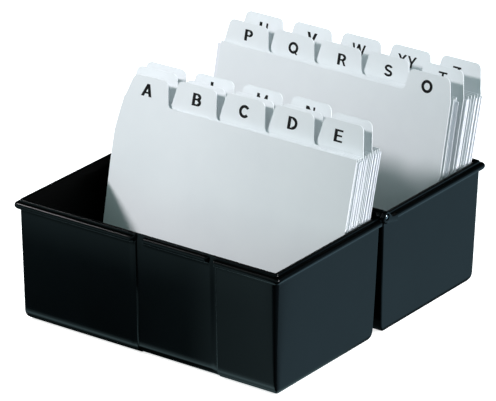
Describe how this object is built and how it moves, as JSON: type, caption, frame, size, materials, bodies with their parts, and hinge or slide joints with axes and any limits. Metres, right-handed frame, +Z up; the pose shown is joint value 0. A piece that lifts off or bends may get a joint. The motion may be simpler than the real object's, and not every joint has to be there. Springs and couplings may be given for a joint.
{
  "type": "folding card index box",
  "caption": "Folding index-card box: two hinged black trays holding white A to Z tabbed dividers with record cards behind them.",
  "frame": {"origin": "on the surface the open box stands on, under the middle of the box with its cards", "axes": "+X along the hinge, towards the right as seen from the front; +Y from the front tray to the rear tray; +Z up"},
  "size_m": [0.1696, 0.1994, 0.1204],
  "materials": {
    "tray_plastic": "moulded, satin gloss, black",
    "pin_steel": "bright turned",
    "divider_board": "smooth white board with printed black index letters",
    "card_paper": "uncoated white"
  },
  "bodies": {
    "front_tray": {"front_tray": "tray_plastic", "hinge_pin_left": "pin_steel"},
    "rear_tray": {"rear_tray": "tray_plastic", "hinge_pin_right": "pin_steel"},
    "cards_a": {"cards_a": "card_paper"},
    "divider_a": {"divider_a": "divider_board"},
    "cards_b": {"cards_b": "card_paper"},
    "divider_b": {"divider_b": "divider_board"},
    "cards_c": {"cards_c": "card_paper"},
    "divider_c": {"divider_c": "divider_board"},
    "cards_d": {"cards_d": "card_paper"},
    "divider_d": {"divider_d": "divider_board"},
    "cards_e": {"cards_e": "card_paper"},
    "divider_e": {"divider_e": "divider_board"},
    "cards_f": {"cards_f": "card_paper"},
    "divider_f": {"divider_f": "divider_board"},
    "cards_g": {"cards_g": "card_paper"},
    "divider_g": {"divider_g": "divider_board"},
    "cards_h": {"cards_h": "card_paper"},
    "divider_h": {"divider_h": "divider_board"},
    "cards_i": {"cards_i": "card_paper"},
    "divider_i": {"divider_i": "divider_board"},
    "cards_j": {"cards_j": "card_paper"},
    "divider_j": {"divider_j": "divider_board"},
    "cards_k": {"cards_k": "card_paper"},
    "divider_k": {"divider_k": "divider_board"},
    "cards_l": {"cards_l": "card_paper"},
    "divider_l": {"divider_l": "divider_board"},
    "cards_m": {"cards_m": "card_paper"},
    "divider_m": {"divider_m": "divider_board"},
    "cards_n": {"cards_n": "card_paper"},
    "divider_n": {"divider_n": "divider_board"},
    "cards_o": {"cards_o": "card_paper"},
    "divider_o": {"divider_o": "divider_board"},
    "cards_p": {"cards_p": "card_paper"},
    "divider_p": {"divider_p": "divider_board"},
    "cards_q": {"cards_q": "card_paper"},
    "divider_q": {"divider_q": "divider_board"},
    "cards_r": {"cards_r": "card_paper"},
    "divider_r": {"divider_r": "divider_board"},
    "cards_s": {"cards_s": "card_paper"},
    "divider_s": {"divider_s": "divider_board"},
    "cards_t": {"cards_t": "card_paper"},
    "divider_t": {"divider_t": "divider_board"},
    "cards_u": {"cards_u": "card_paper"},
    "divider_u": {"divider_u": "divider_board"},
    "cards_v": {"cards_v": "card_paper"},
    "divider_v": {"divider_v": "divider_board"},
    "cards_w": {"cards_w": "card_paper"},
    "divider_w": {"divider_w": "divider_board"},
    "cards_xy": {"cards_xy": "card_paper"},
    "divider_xy": {"divider_xy": "divider_board"},
    "cards_z": {"cards_z": "card_paper"},
    "divider_z": {"divider_z": "divider_board"}
  },
  "joints": [
    {"name": "tray_fold", "type": "hinge", "parent": "front_tray", "child": "rear_tray", "pos_m": [0, -0.0034, 0.0692], "axis": [-1, 0, 0], "range_deg": [-180, 0]},
    {"name": "swing_a", "type": "hinge", "parent": "front_tray", "child": "cards_a", "pos_m": [0, -0.0469, 0.0029], "axis": [1, 0, 0], "range_deg": [0, 5.4]},
    {"name": "lift_a", "type": "slide", "parent": "cards_a", "child": "divider_a", "axis": [0, 0.2487, 0.9686], "range_m": [0, 0.125]},
    {"name": "swing_b", "type": "hinge", "parent": "front_tray", "child": "cards_b", "pos_m": [0, -0.04537, 0.0029], "axis": [1, 0, 0], "range_deg": [0, 5.48]},
    {"name": "lift_b", "type": "slide", "parent": "cards_b", "child": "divider_b", "axis": [0, 0.2487, 0.9686], "range_m": [0, 0.125]},
    {"name": "swing_c", "type": "hinge", "parent": "front_tray", "child": "cards_c", "pos_m": [0, -0.04384, 0.0029], "axis": [1, 0, 0], "range_deg": [0, 5.57]},
    {"name": "lift_c", "type": "slide", "parent": "cards_c", "child": "divider_c", "axis": [0, 0.2487, 0.9686], "range_m": [0, 0.125]},
    {"name": "swing_d", "type": "hinge", "parent": "front_tray", "child": "cards_d", "pos_m": [0, -0.04231, 0.0029], "axis": [1, 0, 0], "range_deg": [0, 5.65]},
    {"name": "lift_d", "type": "slide", "parent": "cards_d", "child": "divider_d", "axis": [0, 0.2487, 0.9686], "range_m": [0, 0.125]},
    {"name": "swing_e", "type": "hinge", "parent": "front_tray", "child": "cards_e", "pos_m": [0, -0.04079, 0.0029], "axis": [1, 0, 0], "range_deg": [0, 5.74]},
    {"name": "lift_e", "type": "slide", "parent": "cards_e", "child": "divider_e", "axis": [0, 0.2487, 0.9686], "range_m": [0, 0.125]},
    {"name": "swing_f", "type": "hinge", "parent": "front_tray", "child": "cards_f", "pos_m": [0, -0.03926, 0.0029], "axis": [1, 0, 0], "range_deg": [0, 5.82]},
    {"name": "lift_f", "type": "slide", "parent": "cards_f", "child": "divider_f", "axis": [0, 0.2487, 0.9686], "range_m": [0, 0.125]},
    {"name": "swing_g", "type": "hinge", "parent": "front_tray", "child": "cards_g", "pos_m": [0, -0.03773, 0.0029], "axis": [1, 0, 0], "range_deg": [0, 5.91]},
    {"name": "lift_g", "type": "slide", "parent": "cards_g", "child": "divider_g", "axis": [0, 0.2487, 0.9686], "range_m": [0, 0.125]},
    {"name": "swing_h", "type": "hinge", "parent": "front_tray", "child": "cards_h", "pos_m": [0, -0.0362, 0.0029], "axis": [1, 0, 0], "range_deg": [0, 5.99]},
    {"name": "lift_h", "type": "slide", "parent": "cards_h", "child": "divider_h", "axis": [0, 0.2487, 0.9686], "range_m": [0, 0.125]},
    {"name": "swing_i", "type": "hinge", "parent": "front_tray", "child": "cards_i", "pos_m": [0, -0.03467, 0.0029], "axis": [1, 0, 0], "range_deg": [0, 6.08]},
    {"name": "lift_i", "type": "slide", "parent": "cards_i", "child": "divider_i", "axis": [0, 0.2487, 0.9686], "range_m": [0, 0.125]},
    {"name": "swing_j", "type": "hinge", "parent": "front_tray", "child": "cards_j", "pos_m": [0, -0.03314, 0.0029], "axis": [1, 0, 0], "range_deg": [0, 6.16]},
    {"name": "lift_j", "type": "slide", "parent": "cards_j", "child": "divider_j", "axis": [0, 0.2487, 0.9686], "range_m": [0, 0.125]},
    {"name": "swing_k", "type": "hinge", "parent": "front_tray", "child": "cards_k", "pos_m": [0, -0.03161, 0.0029], "axis": [1, 0, 0], "range_deg": [0, 6.25]},
    {"name": "lift_k", "type": "slide", "parent": "cards_k", "child": "divider_k", "axis": [0, 0.2487, 0.9686], "range_m": [0, 0.125]},
    {"name": "swing_l", "type": "hinge", "parent": "front_tray", "child": "cards_l", "pos_m": [0, -0.03009, 0.0029], "axis": [1, 0, 0], "range_deg": [0, 6.33]},
    {"name": "lift_l", "type": "slide", "parent": "cards_l", "child": "divider_l", "axis": [0, 0.2487, 0.9686], "range_m": [0, 0.125]},
    {"name": "swing_m", "type": "hinge", "parent": "front_tray", "child": "cards_m", "pos_m": [0, -0.02856, 0.0029], "axis": [1, 0, 0], "range_deg": [0, 6.42]},
    {"name": "lift_m", "type": "slide", "parent": "cards_m", "child": "divider_m", "axis": [0, 0.2487, 0.9686], "range_m": [0, 0.125]},
    {"name": "swing_n", "type": "hinge", "parent": "front_tray", "child": "cards_n", "pos_m": [0, -0.02703, 0.0029], "axis": [1, 0, 0], "range_deg": [0, 6.5]},
    {"name": "lift_n", "type": "slide", "parent": "cards_n", "child": "divider_n", "axis": [0, 0.2487, 0.9686], "range_m": [0, 0.125]},
    {"name": "swing_o", "type": "hinge", "parent": "rear_tray", "child": "cards_o", "pos_m": [0, 0.052, 0.0029], "axis": [1, 0, 0], "range_deg": [0, 15.6]},
    {"name": "lift_o", "type": "slide", "parent": "cards_o", "child": "divider_o", "axis": [0, 0.2062, 0.9785], "range_m": [0, 0.125]},
    {"name": "swing_p", "type": "hinge", "parent": "rear_tray", "child": "cards_p", "pos_m": [0, 0.05373, 0.0029], "axis": [1, 0, 0], "range_deg": [0, 15.93]},
    {"name": "lift_p", "type": "slide", "parent": "cards_p", "child": "divider_p", "axis": [0, 0.2105, 0.9776], "range_m": [0, 0.125]},
    {"name": "swing_q", "type": "hinge", "parent": "rear_tray", "child": "cards_q", "pos_m": [0, 0.05545, 0.0029], "axis": [1, 0, 0], "range_deg": [0, 16.26]},
    {"name": "lift_q", "type": "slide", "parent": "cards_q", "child": "divider_q", "axis": [0, 0.2147, 0.9767], "range_m": [0, 0.125]},
    {"name": "swing_r", "type": "hinge", "parent": "rear_tray", "child": "cards_r", "pos_m": [0, 0.05718, 0.0029], "axis": [1, 0, 0], "range_deg": [0, 16.59]},
    {"name": "lift_r", "type": "slide", "parent": "cards_r", "child": "divider_r", "axis": [0, 0.219, 0.9757], "range_m": [0, 0.125]},
    {"name": "swing_s", "type": "hinge", "parent": "rear_tray", "child": "cards_s", "pos_m": [0, 0.05891, 0.0029], "axis": [1, 0, 0], "range_deg": [0, 16.92]},
    {"name": "lift_s", "type": "slide", "parent": "cards_s", "child": "divider_s", "axis": [0, 0.2233, 0.9748], "range_m": [0, 0.125]},
    {"name": "swing_t", "type": "hinge", "parent": "rear_tray", "child": "cards_t", "pos_m": [0, 0.06064, 0.0029], "axis": [1, 0, 0], "range_deg": [0, 17.25]},
    {"name": "lift_t", "type": "slide", "parent": "cards_t", "child": "divider_t", "axis": [0, 0.2275, 0.9738], "range_m": [0, 0.125]},
    {"name": "swing_u", "type": "hinge", "parent": "rear_tray", "child": "cards_u", "pos_m": [0, 0.06236, 0.0029], "axis": [1, 0, 0], "range_deg": [0, 17.58]},
    {"name": "lift_u", "type": "slide", "parent": "cards_u", "child": "divider_u", "axis": [0, 0.2317, 0.9728], "range_m": [0, 0.125]},
    {"name": "swing_v", "type": "hinge", "parent": "rear_tray", "child": "cards_v", "pos_m": [0, 0.06409, 0.0029], "axis": [1, 0, 0], "range_deg": [0, 17.91]},
    {"name": "lift_v", "type": "slide", "parent": "cards_v", "child": "divider_v", "axis": [0, 0.236, 0.9718], "range_m": [0, 0.125]},
    {"name": "swing_w", "type": "hinge", "parent": "rear_tray", "child": "cards_w", "pos_m": [0, 0.06582, 0.0029], "axis": [1, 0, 0], "range_deg": [0, 18.24]},
    {"name": "lift_w", "type": "slide", "parent": "cards_w", "child": "divider_w", "axis": [0, 0.2402, 0.9707], "range_m": [0, 0.125]},
    {"name": "swing_xy", "type": "hinge", "parent": "rear_tray", "child": "cards_xy", "pos_m": [0, 0.06755, 0.0029], "axis": [1, 0, 0], "range_deg": [0, 18.57]},
    {"name": "lift_xy", "type": "slide", "parent": "cards_xy", "child": "divider_xy", "axis": [0, 0.2445, 0.9697], "range_m": [0, 0.125]},
    {"name": "swing_z", "type": "hinge", "parent": "rear_tray", "child": "cards_z", "pos_m": [0, 0.06927, 0.0029], "axis": [1, 0, 0], "range_deg": [0, 18.9]},
    {"name": "lift_z", "type": "slide", "parent": "cards_z", "child": "divider_z", "axis": [0, 0.2487, 0.9686], "range_m": [0, 0.125]}
  ],
  "couplings": [
    {"joint": "swing_a", "follows": "tray_fold", "ratio": -0.03},
    {"joint": "swing_b", "follows": "tray_fold", "ratio": -0.03047},
    {"joint": "swing_c", "follows": "tray_fold", "ratio": -0.03094},
    {"joint": "swing_d", "follows": "tray_fold", "ratio": -0.03141},
    {"joint": "swing_e", "follows": "tray_fold", "ratio": -0.031881},
    {"joint": "swing_f", "follows": "tray_fold", "ratio": -0.032351},
    {"joint": "swing_g", "follows": "tray_fold", "ratio": -0.032821},
    {"joint": "swing_h", "follows": "tray_fold", "ratio": -0.033291},
    {"joint": "swing_i", "follows": "tray_fold", "ratio": -0.033761},
    {"joint": "swing_j", "follows": "tray_fold", "ratio": -0.034231},
    {"joint": "swing_k", "follows": "tray_fold", "ratio": -0.034701},
    {"joint": "swing_l", "follows": "tray_fold", "ratio": -0.035171},
    {"joint": "swing_m", "follows": "tray_fold", "ratio": -0.035641},
    {"joint": "swing_n", "follows": "tray_fold", "ratio": -0.036111},
    {"joint": "swing_o", "follows": "tray_fold", "ratio": -0.086667},
    {"joint": "swing_p", "follows": "tray_fold", "ratio": -0.0885},
    {"joint": "swing_q", "follows": "tray_fold", "ratio": -0.090333},
    {"joint": "swing_r", "follows": "tray_fold", "ratio": -0.092167},
    {"joint": "swing_s", "follows": "tray_fold", "ratio": -0.094},
    {"joint": "swing_t", "follows": "tray_fold", "ratio": -0.095833},
    {"joint": "swing_u", "follows": "tray_fold", "ratio": -0.097667},
    {"joint": "swing_v", "follows": "tray_fold", "ratio": -0.0995},
    {"joint": "swing_w", "follows": "tray_fold", "ratio": -0.10133},
    {"joint": "swing_xy", "follows": "tray_fold", "ratio": -0.10317},
    {"joint": "swing_z", "follows": "tray_fold", "ratio": -0.105}
  ]
}
